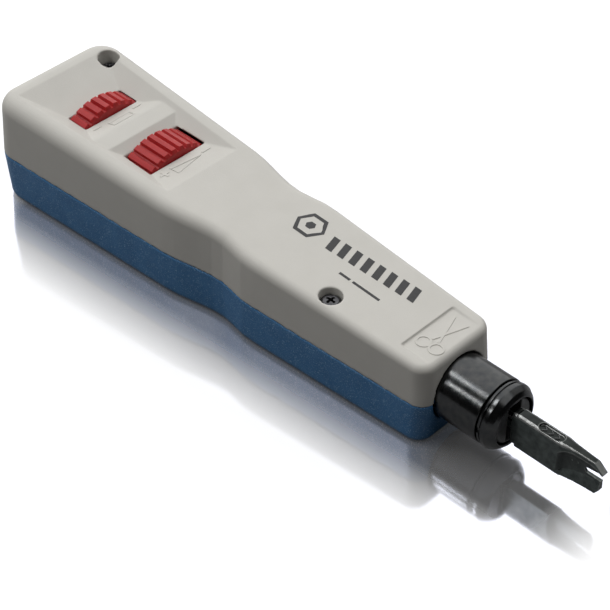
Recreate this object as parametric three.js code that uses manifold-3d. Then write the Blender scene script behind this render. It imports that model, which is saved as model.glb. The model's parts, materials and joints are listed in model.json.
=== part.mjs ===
// A spring-loaded punch down tool for seating and trimming network wires.
// Millimetres, +Z up. X runs along the tool, from the butt at -X to the blade tip at +X, and is
// measured from the housing's nose face. The whole tool is then moved along X, so that the
// origin of the finished part is at the middle of its length and width, on its underside.
import * as THREE from 'three';
import Module from 'manifold-3d';
import { mergeVertices } from 'three/addons/utils/BufferGeometryUtils.js';
import { ConvexGeometry } from 'three/addons/geometries/ConvexGeometry.js';

const wasm = await Module();
wasm.setup();

// ---- driving dimensions ----

// Housing: two shells that meet at a parting line.
const BUTT_X = -137;
const TIP_X = 39.5;
const BUTT_HALF_WIDTH = 18.95;
const NOSE_HALF_WIDTH = 11.7;
const BUTT_HEIGHT = 29.5;
const NOSE_HEIGHT = 22.2;
const BUTT_PARTING = 12.8;
const NOSE_PARTING = 11.6;
const BUTT_CORNER = 6.3;
const NOSE_CORNER = 4;
const TOP_FILLET = 2.8;
const BOTTOM_FILLET = 1.3;
const SIDE_DRAFT = 0.4;
const END_DRAFT = 0.7;
const WALL = 2;
const GAP = 0.3;

// Finger waist in both sides.
const WAIST_START = -78;
const WAIST_DEEPEST = -62;
const WAIST_END = -51;
const WAIST_DEPTH = 1.8;

// Thumb wheels, and the dished recess around them.
const WHEEL_Z = 15;
const WHEEL_RADIUS = 12.8;
const WHEEL_RIBS = 33;
const RIB_HEIGHT = 0.8;
const REAR_WINDOW = [-119.1, -112.6];
const FRONT_WINDOW = [-98.6, -89];
const WINDOW_HALF_WIDTH = 8.25;
const REAR_WINDOW_FLOOR = 25.5;
const FRONT_WINDOW_FLOOR = 25.1;
const BRIDGE = [-106.1, -101.4];
const BRIDGE_DROP = 0.8;
const RECESS = [-130.9, -80.2];
const RECESS_HALF_WIDTHS = [13.7, 11.1];
const RECESS_SIDE_SLOPE = 0.61;

// Housing screws.
const FRONT_SCREW = { x: -30.7, y: -8.5, top: 22.7, length: 18 };
const REAR_SCREW = { x: -128.1, y: 12.8, top: 26, length: 20 };
const SCREW_HEAD_RADIUS = 2.45;
const SCREW_SHANK_RADIUS = 1.3;
const BOSS_RADIUS = 3.6;

// Plunger group: sleeve, ring, socket and rod on the working axis.
const AXIS_Z = 11.6;
const STROKE = 10;
const SLEEVE = [-14.2, 10.9];
const SLEEVE_RADIUS = 7.95;
const SLEEVE_BORE = 7.15;
const FLANGE = [-6.1, -3.1];
const FLANGE_RADIUS = 9;
const FRONT_WALL = [-2.7, -1];
const RING = [11.2, 15.5];
const RING_BORE = 5.8;
const ROD = [-40.5, 0.5];
const ROD_RADIUS = 2.5;
const PIN_X = -1;
const PIN_RADIUS = 0.9;
const DETENT_X = 8.5;

// Blade bar, upright, with its neck and locking lug inside the socket.
const BLADE_THICKNESS = 3.45;
const BLADE_TOP = 15.7;
const BLADE_BOTTOM = 6.7;
const NECK_RADIUS = 1.7;
const SLOT_WIDTH = 4.2;
const LUG = [5.5, 11.1];
const LUG_REACH = 4;

// Impact mechanism.
const HAMMER = [-56.5, -36.5];
const HAMMER_RADIUS = 7.8;
const SEAR = [-43.2, -40.8];
const SEAR_BOTTOM = 2.9;
const SEAR_LIFT = 1.5;
const BUFFER_WALL = [-33.7, -31.7];
const IMPACT_WHEEL = [-98.3, -89.3];
const STORAGE_WHEEL = [-118.8, -112.9];
const THRUST_PLATE = [-101.7, -99.5];
const THRUST_WALL = [-104.3, -102.1];
const JOURNAL_WALL = [-112.4, -110.4];
const JOURNAL_RADIUS = 7;
const AXLE_RADIUS = 1.9;
const SEAT = [-82.7, -80.5];
const SEAT_RADIUS = 9.2;
const SEAT_TRAVEL = 1.5;
const IMPACT_TURN = THREE.MathUtils.degToRad(25);
const CAM_RADIUS = 7.5;
const CAM_MIDDLE = 2.6;

// Spare blade and the tube it is kept in.
const SPARE_BLADE = [-136.1, -106.3];
const SPARE_HALF_HEIGHT = 4.4;
const STORAGE_TUBE = [-134.5, -119.7];
const STORAGE_TUBE_HALF = { y: 3.6, z: 6.2 };
const TUBE_WALL = [-131.5, -129.5];

// ---- helpers ----

const along = (x, atButt, atNose) => THREE.MathUtils.mapLinear(x, BUTT_X, 0, atButt, atNose);
const heightAt = (x) => along(x, BUTT_HEIGHT, NOSE_HEIGHT);
const partingAt = (x) => along(x, BUTT_PARTING, NOSE_PARTING);
const middleOf = ([from, to]) => (from + to) / 2;
const wider = ([from, to], by) => [from - by, to + by];
const around = (middle, reach) => [middle - reach, middle + reach];
const both = (reach) => around(0, reach);

// A geometry as a solid, with its repeated points merged and its faces turned outwards.
function solid(geometry) {
  const bare = geometry.clone();
  bare.deleteAttribute('normal');
  bare.deleteAttribute('uv');
  const merged = mergeVertices(bare, 1e-4);
  const triangles = [];
  for (let i = 0; i < merged.index.count; i += 3) {
    const [a, b, c] = [0, 1, 2].map((k) => merged.index.getX(i + k));
    if (a !== b && b !== c && c !== a) triangles.push(a, b, c);
  }
  const vertProperties = new Float32Array(merged.attributes.position.array);
  const build = (order) =>
    new wasm.Manifold(new wasm.Mesh({ numProp: 3, vertProperties, triVerts: new Uint32Array(order) }));
  const first = build(triangles);
  return first.volume() > 0 ? first : build(triangles.reverse());
}

const joined = (solids) => solids.reduce((all, next) => all.add(next));

function box([x0, x1], [y0, y1], [z0, z1]) {
  const geometry = new THREE.BoxGeometry(x1 - x0, y1 - y0, z1 - z0);
  return solid(geometry.translate((x0 + x1) / 2, (y0 + y1) / 2, (z0 + z1) / 2));
}

function rodX([from, to], radius, { y = 0, z = 0, segments = 24 } = {}) {
  const geometry = new THREE.CylinderGeometry(radius, radius, to - from, segments);
  return solid(geometry.rotateZ(-Math.PI / 2).translate((from + to) / 2, y, z));
}

function rodY([from, to], radius, { x = 0, z = 0, segments = 16 } = {}) {
  const geometry = new THREE.CylinderGeometry(radius, radius, to - from, segments);
  return solid(geometry.translate(x, (from + to) / 2, z));
}

function rodZ([from, to], radius, { x = 0, y = 0, segments = 24 } = {}) {
  const geometry = new THREE.CylinderGeometry(radius, radius, to - from, segments);
  return solid(geometry.rotateX(Math.PI / 2).translate(x, y, (from + to) / 2));
}

// A body turned about X from an outline of [x, radius] points that closes or ends on the axis.
function turned(outline, segments = 28) {
  const points = outline.map(([x, radius]) => new THREE.Vector2(radius, x));
  return solid(new THREE.LatheGeometry(points, segments).rotateZ(-Math.PI / 2));
}

function tube([x0, x1], inner, outer) {
  return turned([[x0, inner], [x0, outer], [x1, outer], [x1, inner], [x0, inner]]);
}

// A plate with an outline of [x, z] points, extruded across the width.
function plateY(outline, [y0, y1]) {
  const shape = new THREE.Shape(outline.map(([x, z]) => new THREE.Vector2(x, z)));
  const geometry = new THREE.ExtrudeGeometry(shape, { depth: y1 - y0, bevelEnabled: false });
  return solid(geometry.rotateX(Math.PI / 2).translate(0, y1, 0));
}

class Helix extends THREE.Curve {
  constructor(radius, length, turns) {
    super();
    Object.assign(this, { radius, length, turns });
  }

  getPoint(t, target = new THREE.Vector3()) {
    const angle = 2 * Math.PI * this.turns * t;
    return target.set(this.length * t, this.radius * Math.cos(angle), this.radius * Math.sin(angle));
  }
}

// A coil spring along X between two stations.
function coil([from, to], { radius, wire, turns }) {
  const section = new THREE.Shape().absarc(0, 0, wire, 0, 2 * Math.PI);
  const margin = 1.5 * wire;
  const path = new Helix(radius, to - from - 2 * margin, turns);
  const options = { steps: Math.round(turns * 12), extrudePath: path, curveSegments: 3 };
  return solid(new THREE.ExtrudeGeometry(section, options).translate(from + margin, 0, 0));
}

// ---- housing ----

function halfWidth(x) {
  const inward = THREE.MathUtils.smoothstep(x, WAIST_START, WAIST_DEEPEST);
  const outward = 1 - THREE.MathUtils.smoothstep(x, WAIST_DEEPEST, WAIST_END);
  return along(x, BUTT_HALF_WIDTH, NOSE_HALF_WIDTH) - WAIST_DEPTH * Math.min(inward, outward);
}

// The housing seen from above, set in by an inset.
function planOutline(inset) {
  const rear = { x: BUTT_X + inset, r: BUTT_CORNER - inset };
  const front = { x: -inset, r: NOSE_CORNER - inset };
  const bends = 8;
  const waist = Array.from({ length: bends + 1 }, (_, i) =>
    THREE.MathUtils.lerp(WAIST_START, WAIST_END, i / bends));
  const stations = [rear.x + rear.r, ...waist, front.x - front.r];
  const side = stations.map((x) => new THREE.Vector2(x, halfWidth(x) - inset));
  const rearY = side.at(0).y - rear.r;
  const frontY = side.at(-1).y - front.r;
  const shape = new THREE.Shape();
  shape.moveTo(side[0].x, -side[0].y);
  side.slice(1).forEach((p) => shape.lineTo(p.x, -p.y));
  shape.absarc(front.x - front.r, -frontY, front.r, -Math.PI / 2, 0);
  shape.absarc(front.x - front.r, frontY, front.r, 0, Math.PI / 2);
  side.slice(1, -1).reverse().forEach((p) => shape.lineTo(p.x, p.y));
  shape.absarc(rear.x + rear.r, rearY, rear.r, Math.PI / 2, Math.PI);
  shape.absarc(rear.x + rear.r, -rearY, rear.r, Math.PI, 1.5 * Math.PI);
  return shape;
}

// A block with the housing's plan and rounded rims, from z = 0 to the height of the butt. The
// inset one, which is the hidden inside, is rounded more coarsely.
function planBlock(inset, fillet) {
  const options = {
    depth: BUTT_HEIGHT - 2 * fillet,
    bevelSize: fillet,
    bevelThickness: fillet,
    bevelOffset: -fillet,
    bevelSegments: inset > 0 ? 1 : 3,
    curveSegments: inset > 0 ? 2 : 4,
  };
  return new THREE.ExtrudeGeometry(planOutline(inset), options).translate(0, 0, fillet);
}

// Gives each point of a block its final z, and draws the walls in by their draft; lean says how
// far up the wall a point is, from 0 at the parting line to 1 at the far face.
function drafted(geometry, place) {
  const points = geometry.attributes.position;
  const middle = BUTT_X / 2;
  for (let i = 0; i < points.count; i += 1) {
    const x = points.getX(i);
    const { z, lean } = place(x, points.getZ(i));
    const drawnX = middle + (x - middle) * (1 - (END_DRAFT * lean) / Math.abs(middle));
    const drawnY = points.getY(i) * (1 - (SIDE_DRAFT * lean) / halfWidth(x));
    points.setXYZ(i, drawnX, drawnY, z);
  }
  return solid(geometry);
}

function upperBlock(inset) {
  return drafted(planBlock(inset, TOP_FILLET - inset / 2), (x, z) => {
    const drop = z > BUTT_HEIGHT / 2 ? BUTT_HEIGHT - heightAt(x) + inset : 0;
    return { z: z - drop, lean: (z - drop - partingAt(x)) / (heightAt(x) - partingAt(x)) };
  });
}

function lowerBlock(inset) {
  return drafted(planBlock(inset, BOTTOM_FILLET), (x, z) => {
    return { z: z + inset, lean: (partingAt(x) - z - inset) / partingAt(x) };
  });
}

// Everything above (side = 1) or below (side = -1) the parting line, less half a gap.
function halfSpace(side) {
  const [rear, front] = [BUTT_X - WALL, WALL];
  const far = side * 2 * BUTT_HEIGHT;
  const offset = (side * GAP) / 2;
  const edge = [rear, front].map((x) => [x, partingAt(x) + offset]);
  return plateY([...edge, [front, far], [rear, far]], both(BUTT_HEIGHT));
}

// Cross walls that hold the storage tube, wheel journal, thrust plate, buffer and sleeve.
function crossWalls() {
  const spans = [TUBE_WALL, JOURNAL_WALL, THRUST_WALL, BUFFER_WALL, FRONT_WALL];
  const walls = spans.map((span) => box(span, both(BUTT_HALF_WIDTH), [0, BUTT_HEIGHT]));
  const { y, z } = STORAGE_TUBE_HALF;
  const openings = [
    box(wider(TUBE_WALL, 1), both(y + GAP), around(WHEEL_Z, z + GAP)),
    rodX(wider(JOURNAL_WALL, 1), JOURNAL_RADIUS + GAP, { z: WHEEL_Z }),
    rodX(wider(THRUST_WALL, 1), AXLE_RADIUS + GAP, { z: WHEEL_Z }),
    rodX(wider(BUFFER_WALL, 1), ROD_RADIUS + 2 * GAP, { z: AXIS_Z }),
  ];
  return joined(walls).subtract(joined(openings));
}

// Side rails that guide the spring seat and the hammer.
function rails() {
  const low = [0, 9];
  const pair = (span, radius) => {
    const inner = radius + 2 * GAP;
    return [[inner, BUTT_HALF_WIDTH], [-BUTT_HALF_WIDTH, -inner]].map((side) => box(span, side, low));
  };
  const seatRails = pair([SEAT[0] - 4, SEAT[1] + 3], SEAT_RADIUS);
  const hammerRails = pair([HAMMER[0] - STROKE, HAMMER[1]], HAMMER_RADIUS);
  return joined([...seatRails, ...hammerRails]);
}

function bosses() {
  return joined([FRONT_SCREW, REAR_SCREW].map(({ x, y }) =>
    rodZ([0, BUTT_HEIGHT], BOSS_RADIUS, { x, y })));
}

// A head pocket and a shank hole for each screw.
function screwHoles() {
  const headDepth = 2.2;
  return joined([FRONT_SCREW, REAR_SCREW].flatMap(({ x, y, top, length }) => [
    rodZ([top - headDepth, 2 * BUTT_HEIGHT], SCREW_HEAD_RADIUS + GAP, { x, y }),
    rodZ([top - length - GAP, top], SCREW_SHANK_RADIUS + GAP, { x, y }),
  ]));
}

// Room for what turns and slides: sleeve, flange, both wheels and the spare blade.
function clearances() {
  const room = 0.4;
  const spareWidth = BLADE_THICKNESS / 2 + room;
  const spareHeight = SPARE_HALF_HEIGHT + room;
  const onAxis = { z: AXIS_Z, segments: 40 };
  const wheels = [REAR_WINDOW, FRONT_WINDOW].map((span) =>
    rodX(span, WHEEL_RADIUS + room, { z: WHEEL_Z, segments: 40 }));
  return joined([
    rodX([FRONT_WALL[0] - GAP, WALL], SLEEVE_RADIUS + GAP, onAxis),
    rodX([FLANGE[0] - STROKE - 2 * GAP, FLANGE[1] + GAP], FLANGE_RADIUS + room, onAxis),
    box(around(BUTT_X, 2 * WALL), both(spareWidth), around(WHEEL_Z, spareHeight)),
    ...wheels,
  ]);
}

// The space above the recess floor: down to the rear window, up over the bridge between the
// windows, down to the front window and out to the top face. Lowered by a skin, it is the
// inside of the ceiling.
function overRecessFloor(skin) {
  const above = 2 * BUTT_HEIGHT;
  const bridge = BRIDGE.map((x) => [x, heightAt(x) - BRIDGE_DROP]);
  const floor = [
    [RECESS[0], heightAt(RECESS[0])],
    ...REAR_WINDOW.map((x) => [x, REAR_WINDOW_FLOOR]),
    ...bridge,
    ...FRONT_WINDOW.map((x) => [x, FRONT_WINDOW_FLOOR]),
    [RECESS[1], heightAt(RECESS[1])],
  ];
  const lowered = floor.map(([x, z]) => [x, z - skin]);
  return plateY([...lowered, [RECESS[1] + 5, above], [RECESS[0] - 5, above]], both(BUTT_HALF_WIDTH));
}

// The recess itself, between two sloping side facets that are carried on past its floor and its
// rim, with the wheel windows.
function wheelRecess() {
  const above = 2 * BUTT_HEIGHT;
  const corners = RECESS.flatMap((x, end) => [1, BUTT_HALF_WIDTH].flatMap((y) => {
    const z = heightAt(x) + (y - RECESS_HALF_WIDTHS[end]) * RECESS_SIDE_SLOPE;
    return [new THREE.Vector3(x, y, z), new THREE.Vector3(x, -y, z)];
  }));
  const windows = [REAR_WINDOW, FRONT_WINDOW].map((span) =>
    box(span, both(WINDOW_HALF_WIDTH), [WHEEL_Z, above]));
  return joined([overRecessFloor(0).intersect(solid(new ConvexGeometry(corners))), ...windows]);
}

// Shallow ramped panel on top of the nose, which marks the trimming side of the blade.
function nosePanel() {
  const [rear, front] = [-10.2, -2];
  const depth = 0.5;
  const top = [[front, heightAt(front)], [front, heightAt(front) + 1], [rear, heightAt(rear) + 1]];
  return plateY([[rear, heightAt(rear) - depth], ...top], [-8.2, 8.5]);
}

function shell(side) {
  const block = side > 0 ? upperBlock : lowerBlock;
  const ceilingSkin = 1.6;
  const hollow = block(WALL).subtract(overRecessFloor(ceilingSkin));
  const fittings = joined([crossWalls(), rails(), bosses()]).intersect(block(WALL / 2));
  const cuts = [clearances(), screwHoles()];
  if (side > 0) cuts.push(wheelRecess(), nosePanel());
  return block(0).subtract(hollow).add(fittings).subtract(joined(cuts)).intersect(halfSpace(side));
}

// Pan head screw along -Z from the top of its head, with a cross recess.
function screw(length) {
  const headHeight = 1.9;
  const crown = 0.5;
  const outline = [
    [-length, 0],
    [-length + 1.5, SCREW_SHANK_RADIUS],
    [-headHeight, SCREW_SHANK_RADIUS],
    [-headHeight, SCREW_HEAD_RADIUS],
    [-crown, SCREW_HEAD_RADIUS],
    [0, 0.7 * SCREW_HEAD_RADIUS],
    [0, 0],
  ];
  const points = outline.map(([z, radius]) => new THREE.Vector2(radius, z));
  const body = solid(new THREE.LatheGeometry(points, 24).rotateX(Math.PI / 2));
  const arm = 1.5;
  const slot = 0.38;
  const recess = [-1.3, 1];
  return body.subtract(box(both(arm), both(slot), recess)).subtract(box(both(slot), both(arm), recess));
}

// ---- thumb wheels, on their own axis ----

// A disc with rounded ribs along its rim and a bore.
function ribbedDisc([from, to], bore) {
  const shape = new THREE.Shape();
  const pointsPerRib = 4;
  const count = WHEEL_RIBS * pointsPerRib;
  for (let i = 0; i < count; i += 1) {
    const angle = (2 * Math.PI * i) / count;
    const radius = WHEEL_RADIUS - RIB_HEIGHT * (1 - Math.abs(Math.cos((WHEEL_RIBS * angle) / 2)));
    const move = i === 0 ? 'moveTo' : 'lineTo';
    shape[move](radius * Math.cos(angle), radius * Math.sin(angle));
  }
  shape.closePath();
  shape.holes.push(new THREE.Path().absarc(0, 0, bore, 0, 2 * Math.PI));
  const options = { depth: to - from, bevelEnabled: false, curveSegments: 12 };
  const geometry = new THREE.ExtrudeGeometry(shape, options);
  return solid(geometry.rotateX(Math.PI / 2).rotateZ(Math.PI / 2).translate(from, 0, 0));
}

// Two opposite ramps on the wheel's front face, each centred on the Y axis and falling as the
// angle about +X grows, so that turning the wheel by IMPACT_TURN moves a follower by SEAT_TRAVEL.
function faceCam(baseX) {
  const [inner, outer] = [CAM_RADIUS - 1.3, CAM_RADIUS + 1.3];
  const reach = THREE.MathUtils.degToRad(36);
  const steps = 8;
  const angles = Array.from({ length: steps + 1 }, (_, i) => THREE.MathUtils.lerp(-reach, reach, i / steps));
  const centre = new THREE.Vector2();
  const onArc = (radius) => (angle) => new THREE.Vector2(radius, 0).rotateAround(centre, angle);
  const shape = new THREE.Shape([...angles.map(onArc(outer)), ...angles.reverse().map(onArc(inner))]);
  const geometry = new THREE.ExtrudeGeometry(shape, { depth: 1, bevelEnabled: false });
  const points = geometry.attributes.position;
  for (let i = 0; i < points.count; i += 1) {
    const angle = Math.atan2(points.getY(i), points.getX(i));
    const height = CAM_MIDDLE - (SEAT_TRAVEL * angle) / IMPACT_TURN;
    points.setZ(i, points.getZ(i) > 0.5 ? height : -0.5);
  }
  // The shape's X becomes +Y and its Y becomes +Z, with the height along +X.
  geometry.rotateX(Math.PI / 2).rotateZ(Math.PI / 2);
  const ramp = solid(geometry.translate(baseX, 0, 0));
  return ramp.add(ramp.rotate([180, 0, 0]));
}

function impactWheel() {
  return ribbedDisc(IMPACT_WHEEL, AXLE_RADIUS + GAP).add(faceCam(IMPACT_WHEEL[1]));
}

// Two keys in the bore turn into the spare blade's notches and hold it.
function storageWheel() {
  const bore = 5.3;
  const keyReach = 2.7;
  const keys = [[keyReach, bore + 0.5], [-bore - 0.5, -keyReach]].map((span) =>
    box(around(middleOf(STORAGE_WHEEL), 1), span, both(1)));
  const journal = tube([STORAGE_WHEEL[1] - 0.5, JOURNAL_WALL[1] + GAP], bore, JOURNAL_RADIUS);
  return joined([ribbedDisc(STORAGE_WHEEL, bore), journal, ...keys]);
}

function wheelAxle() {
  const head = [THRUST_WALL[0] - 1.4, THRUST_WALL[0] - GAP];
  const end = IMPACT_WHEEL[1] + 1.9;
  const groove = [end - 1.75, end - 0.55];
  const neck = AXLE_RADIUS - 0.6;
  return turned([
    [head[0], 0], [head[0], 3.4], [head[1], 3.4], [head[1], AXLE_RADIUS],
    [groove[0], AXLE_RADIUS], [groove[0], neck], [groove[1], neck], [groove[1], AXLE_RADIUS],
    [end, AXLE_RADIUS], [end, 0],
  ], 24);
}

function axleClip() {
  return tube(around(IMPACT_WHEEL[1] + 0.75, 0.3), AXLE_RADIUS - 0.3, 3.4);
}

// A leaf spring beside a wheel's rim.
function clickSpring(wheel) {
  return box(around(middleOf(wheel), 2), [WHEEL_RADIUS + 0.4, WHEEL_RADIUS + 0.9], both(6));
}

function storageTube() {
  const { y, z } = STORAGE_TUBE_HALF;
  const inside = box(wider(STORAGE_TUBE, 1), both(y - 1.4), both(z - 1.2));
  return box(STORAGE_TUBE, both(y), both(z)).subtract(inside);
}

// The spare blade: a bar with locking notches in both edges and a tapered working end.
function spareBlade() {
  const [rear, front] = SPARE_BLADE;
  const half = SPARE_HALF_HEIGHT;
  const notchHalf = 1.5;
  const notch = around(middleOf(STORAGE_WHEEL), 1.4);
  const edge = [[rear, half], [notch[0], half], [notch[0], notchHalf], [notch[1], notchHalf]];
  const upper = [...edge, [notch[1], half], [front - 3, half], [front, 2]];
  const lower = upper.map(([x, z]) => [x, -z]).reverse();
  return plateY([...upper, ...lower], both(BLADE_THICKNESS / 2));
}

function thrustPlate() {
  const plate = box(THRUST_PLATE, both(11), [-12, 8]);
  return plate.subtract(rodX(wider(THRUST_PLATE, 1), AXLE_RADIUS + GAP));
}

// ---- impact mechanism, on the working axis ----

const followerZ = WHEEL_Z - AXIS_Z;

function springSeat() {
  const spigotEnd = SEAT[1] + 8;
  const camTop = IMPACT_WHEEL[1] + CAM_MIDDLE;
  const plate = turned([
    [SEAT[0], 0], [SEAT[0], SEAT_RADIUS], [SEAT[1], SEAT_RADIUS],
    [SEAT[1], 4.6], [spigotEnd, 4.6], [spigotEnd, 0],
  ]);
  const followers = [CAM_RADIUS, -CAM_RADIUS].map((y) =>
    rodX([camTop + 2 * GAP, SEAT[0] + 1], 0.9, { y, z: followerZ, segments: 12 }));
  return joined([plate, ...followers]);
}

// The hammer has a bore for the rod, a slot for the sear and a keyway over the release cam.
function hammer() {
  const body = rodX(HAMMER, HAMMER_RADIUS, { segments: 28 });
  return body.subtract(joined([
    rodX([HAMMER[0] + 4, HAMMER[1] + 1], ROD_RADIUS + GAP),
    box(wider(SEAR, GAP), both(4.3), [-9, 7]),
    box(wider(HAMMER, 1), both(3), [-9, -5.5]),
  ]));
}

// The sear's hole sits below the rod by the lift, so the rod's end bears on the plate.
function sear() {
  const plate = box(SEAR, both(4), [SEAR_BOTTOM - AXIS_Z, 3.6]);
  return plate.subtract(rodX(wider(SEAR, 1), ROD_RADIUS + GAP, { z: -SEAR_LIFT }));
}

function searSpring() {
  const spring = coil([3.9, 6.8], { radius: 0.85, wire: 0.2, turns: 3 });
  return spring.rotate([0, -90, 0]).translate([middleOf(SEAR), 0, 0]);
}

// Ramp on the floor that follows the line of the sear's lower end as it is driven back.
function releaseCam() {
  const slope = SEAR_LIFT / STROKE;
  const [rear, front] = [-54.5, -44.5];
  const topAt = (x) => SEAR_BOTTOM - GAP + slope * (SEAR[0] - x);
  const base = WALL + GAP;
  return plateY([[rear, base], [front, base], [front, topAt(front)], [rear, topAt(rear)]], both(2.4));
}

function mainSpring() {
  return coil([SEAT[1], HAMMER[0]], { radius: 6.2, wire: 0.75, turns: 7 });
}

function hammerBuffer() {
  return tube([HAMMER[1] + GAP, BUFFER_WALL[0] - GAP], 3.6, 6.6);
}

// ---- plunger and blade, on the working axis ----

function returnSpring() {
  return coil([BUFFER_WALL[1], SLEEVE[0]], { radius: 3.6, wire: 0.45, turns: 6 });
}

function plungerSleeve() {
  const endWall = SLEEVE[0] + 2.7;
  const bore = ROD_RADIUS + GAP;
  const body = turned([
    [SLEEVE[0], bore], [SLEEVE[0], SLEEVE_RADIUS], [FLANGE[0], SLEEVE_RADIUS],
    [FLANGE[0], FLANGE_RADIUS], [FLANGE[1], FLANGE_RADIUS], [FLANGE[1], SLEEVE_RADIUS],
    [SLEEVE[1], SLEEVE_RADIUS], [SLEEVE[1], SLEEVE_BORE], [endWall, SLEEVE_BORE],
    [endWall, bore], [SLEEVE[0], bore],
  ], 40);
  return body.subtract(rodY(both(SLEEVE_RADIUS + 1), PIN_RADIUS + GAP, { x: PIN_X }));
}

function lockRing() {
  const [rear, front] = RING;
  const shoulder = rear + 2.1;
  return turned([
    [rear, RING_BORE], [rear, SLEEVE_RADIUS], [shoulder, SLEEVE_RADIUS], [front - 0.9, 7.4],
    [front - 0.2, 6.7], [front, 6.2], [front, RING_BORE], [rear, RING_BORE],
  ], 40);
}

// A hollow core: a plug on the rod, a round chamber for the blade's lug and a slotted lip.
function bladeSocket() {
  const plug = { x: [-3, 1.1], radius: 6.85 };
  const core = { x: [1.1, 10.9], radius: 6 };
  const lip = { x: [10.9, 15.1], radius: 5.4 };
  const body = turned([
    [plug.x[0], 0], [plug.x[0], plug.radius], [plug.x[1], plug.radius], [core.x[0], core.radius],
    [core.x[1], core.radius], [lip.x[0], lip.radius], [lip.x[1], lip.radius], [lip.x[1], 0],
  ]);
  return body.subtract(joined([
    rodX([plug.x[0] - 1, ROD[1] + GAP], ROD_RADIUS + GAP),
    rodX([LUG[0] - 0.8, LUG[1] + GAP], LUG_REACH + 0.7),
    box([LUG[1], lip.x[1] + 1], both(SLOT_WIDTH / 2), both(LUG_REACH + 0.9)),
    rodY(both(plug.radius + 1), PIN_RADIUS + GAP, { x: PIN_X }),
    rodZ([0, core.radius + 1], 1.2, { x: DETENT_X, segments: 16 }),
  ]));
}

function plungerRod() {
  return rodX(ROD, ROD_RADIUS).subtract(rodY(both(ROD_RADIUS + 1), PIN_RADIUS + GAP, { x: PIN_X }));
}

function detentBall() {
  return solid(new THREE.SphereGeometry(0.8, 12, 8).translate(DETENT_X, 0, 5.45));
}

// A spring ring around the socket that presses the detent ball inwards, open at the bottom.
function detentClip() {
  const span = around(DETENT_X, 0.6);
  return tube(span, 6.4, 6.85).subtract(box(wider(span, 1), both(1.5), [-8, 0]));
}

// Blade bar with a forked tip: the upper tine ends in the slanting trimming edge.
function blade() {
  const rear = RING[1] + GAP;
  const top = BLADE_TOP - AXIS_Z;
  const bottom = BLADE_BOTTOM - AXIS_Z;
  const cutRear = TIP_X - 2.6;
  const outline = [
    [rear, bottom + 0.8], [rear + 1.3, bottom], [28.5, bottom], [36.6, bottom + 0.4],
    [38.2, bottom + 2.4], [38.5, 0], [34.6, -0.1], [34.2, 0.3], [34.6, 1.1],
    [TIP_X - 0.9, 1.25], [TIP_X, 1.9], [cutRear, top - 0.3], [29.5, top], [rear, top],
  ];
  const bar = plateY(outline, both(BLADE_THICKNESS / 2));
  const face = BLADE_THICKNESS / 2;
  const thinned = face - 1;
  const beyond = TIP_X + 1;
  const wedge = [[28.4, face + 0.01], [36, thinned], [beyond, thinned], [beyond, BLADE_THICKNESS]];
  const shape = new THREE.Shape(wedge.map(([x, y]) => new THREE.Vector2(x, y)));
  const depth = 2 * BLADE_TOP;
  const relief = new THREE.ExtrudeGeometry(shape, { depth, bevelEnabled: false });
  const leftRelief = solid(relief.translate(0, 0, -depth / 2));
  const neck = rodX([LUG[1] - 0.5, rear + 0.5], NECK_RADIUS, { segments: 20 });
  const lug = box(LUG, both(LUG_REACH), both(BLADE_THICKNESS / 2));
  const thinnedBar = bar.subtract(leftRelief).subtract(leftRelief.mirror([0, 1, 0]));
  return joined([thinnedBar, neck, lug]);
}

// ---- assembly ----

const finishes = {
  greyPlastic: { color: 0xc4c1b9, roughness: 0.55, metalness: 0 },
  bluePlastic: { color: 0x2b4a6c, roughness: 0.5, metalness: 0 },
  redPlastic: { color: 0xa83a38, roughness: 0.4, metalness: 0 },
  blackMetal: { color: 0x141517, roughness: 0.25, metalness: 0.6 },
  blackBlade: { color: 0x2b2e2d, roughness: 0.45, metalness: 0.7 },
  darkSteel: { color: 0x3a3a3c, roughness: 0.4, metalness: 0.9 },
  brightSteel: { color: 0xa8aaad, roughness: 0.3, metalness: 1 },
  springSteel: { color: 0x8d9196, roughness: 0.35, metalness: 1 },
  whitePlastic: { color: 0xd8d8d2, roughness: 0.6, metalness: 0 },
  blackRubber: { color: 0x1b1b1b, roughness: 0.9, metalness: 0 },
};

function piece(name, shape, finish, position = [0, 0, 0]) {
  const { vertProperties, triVerts } = shape.getMesh();
  const geometry = new THREE.BufferGeometry();
  geometry.setAttribute('position', new THREE.BufferAttribute(vertProperties, 3));
  geometry.setIndex(new THREE.BufferAttribute(triVerts, 1));
  const mesh = new THREE.Mesh(geometry, new THREE.MeshStandardMaterial(finishes[finish]));
  mesh.name = name;
  mesh.position.set(...position);
  return mesh;
}

const onWorkingAxis = new THREE.Group();
onWorkingAxis.position.z = AXIS_Z;
onWorkingAxis.add(
  piece('plunger_sleeve', plungerSleeve(), 'blackMetal'),
  piece('lock_ring', lockRing(), 'blackMetal'),
  piece('blade_socket', bladeSocket(), 'darkSteel'),
  piece('plunger_rod', plungerRod(), 'brightSteel'),
  piece('cross_pin', rodY(both(7.5), PIN_RADIUS), 'brightSteel', [PIN_X, 0, 0]),
  piece('detent_ball', detentBall(), 'brightSteel'),
  piece('detent_clip', detentClip(), 'springSteel'),
  piece('blade', blade(), 'blackBlade'),
  piece('return_spring', returnSpring(), 'springSteel'),
  piece('hammer_buffer', hammerBuffer(), 'blackRubber'),
  piece('hammer', hammer(), 'brightSteel'),
  piece('sear', sear(), 'brightSteel'),
  piece('sear_spring', searSpring(), 'springSteel'),
  piece('main_spring', mainSpring(), 'springSteel'),
  piece('spring_seat', springSeat(), 'whitePlastic'),
);

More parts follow.
